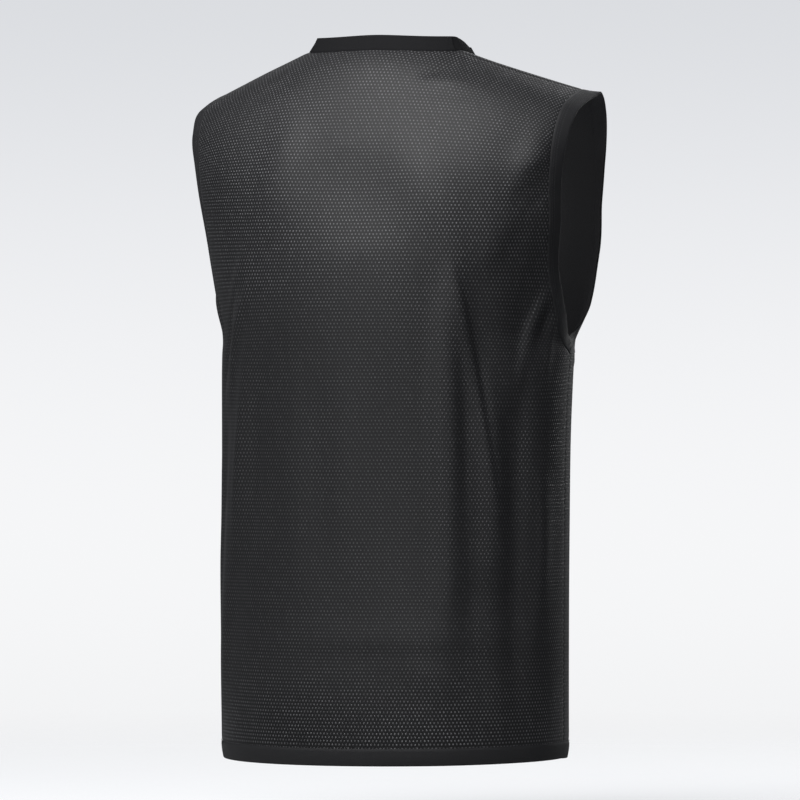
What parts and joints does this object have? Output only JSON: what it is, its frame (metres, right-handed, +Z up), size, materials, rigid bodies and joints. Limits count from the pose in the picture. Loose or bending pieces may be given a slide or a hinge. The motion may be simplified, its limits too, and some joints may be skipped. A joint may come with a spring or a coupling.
{
  "type": "sleeveless workout t-shirt",
  "caption": "Loose sleeveless training tee in dotted knit, with a round collar, bound armholes and a hem band, filled out as if worn.",
  "frame": {"origin": "between the shoulders, level with the neck ends of the shoulder seams, where the garment bears on its wearer", "axes": "+Z up along the wearer, the front faces -Y, the back +Y, the wearer's left is +X"},
  "size_m": [0.4072, 0.2629, 0.7244],
  "materials": {
    "dotted_knit": "black knit with a raised staggered dot, soft sheen",
    "smooth_rib": "black smooth doubled knit, dull"
  },
  "bodies": {
    "root": {"back_panel": "dotted_knit", "front_panel": "dotted_knit", "hem_back": "smooth_rib", "hem_front": "smooth_rib", "armhole_band_left": "smooth_rib", "armhole_band_right": "smooth_rib", "neck_band": "smooth_rib"}
  },
  "joints": []
}
